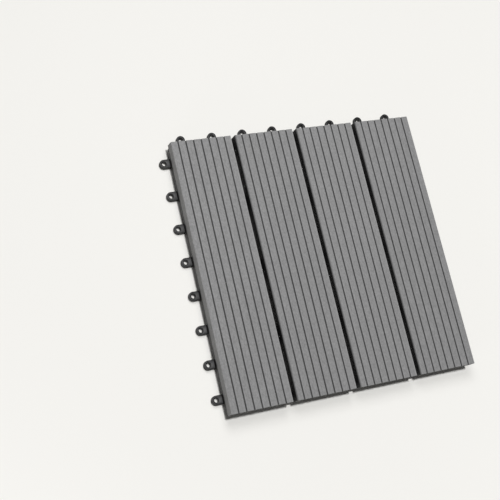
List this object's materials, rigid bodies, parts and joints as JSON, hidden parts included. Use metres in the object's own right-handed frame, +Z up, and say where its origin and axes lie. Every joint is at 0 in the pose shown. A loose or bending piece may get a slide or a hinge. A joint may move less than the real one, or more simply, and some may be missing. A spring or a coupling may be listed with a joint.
{
  "type": "interlocking deck tile",
  "caption": "Square deck tile with grooved grey composite slats on a black moulded base with loops and pins that link it to its neighbours.",
  "frame": {"origin": "on the ground under the middle of the deck, at the underside of the feet", "axes": "+X across the slats, away from the loops on the left edge; +Y along the slats, towards the second row of loops; +Z up, out of the deck"},
  "size_m": [0.3115, 0.3115, 0.022],
  "materials": {
    "slat_composite": "brushed, fine fibre grain",
    "base_plastic": "moulded, slightly satin",
    "screw_steel": "zinc plated"
  },
  "bodies": {
    "root": {"base_grid": "base_plastic", "deck_slat_1": "slat_composite", "deck_slat_2": "slat_composite", "deck_slat_3": "slat_composite", "deck_slat_4": "slat_composite", "slat_screws": "screw_steel"}
  },
  "joints": []
}
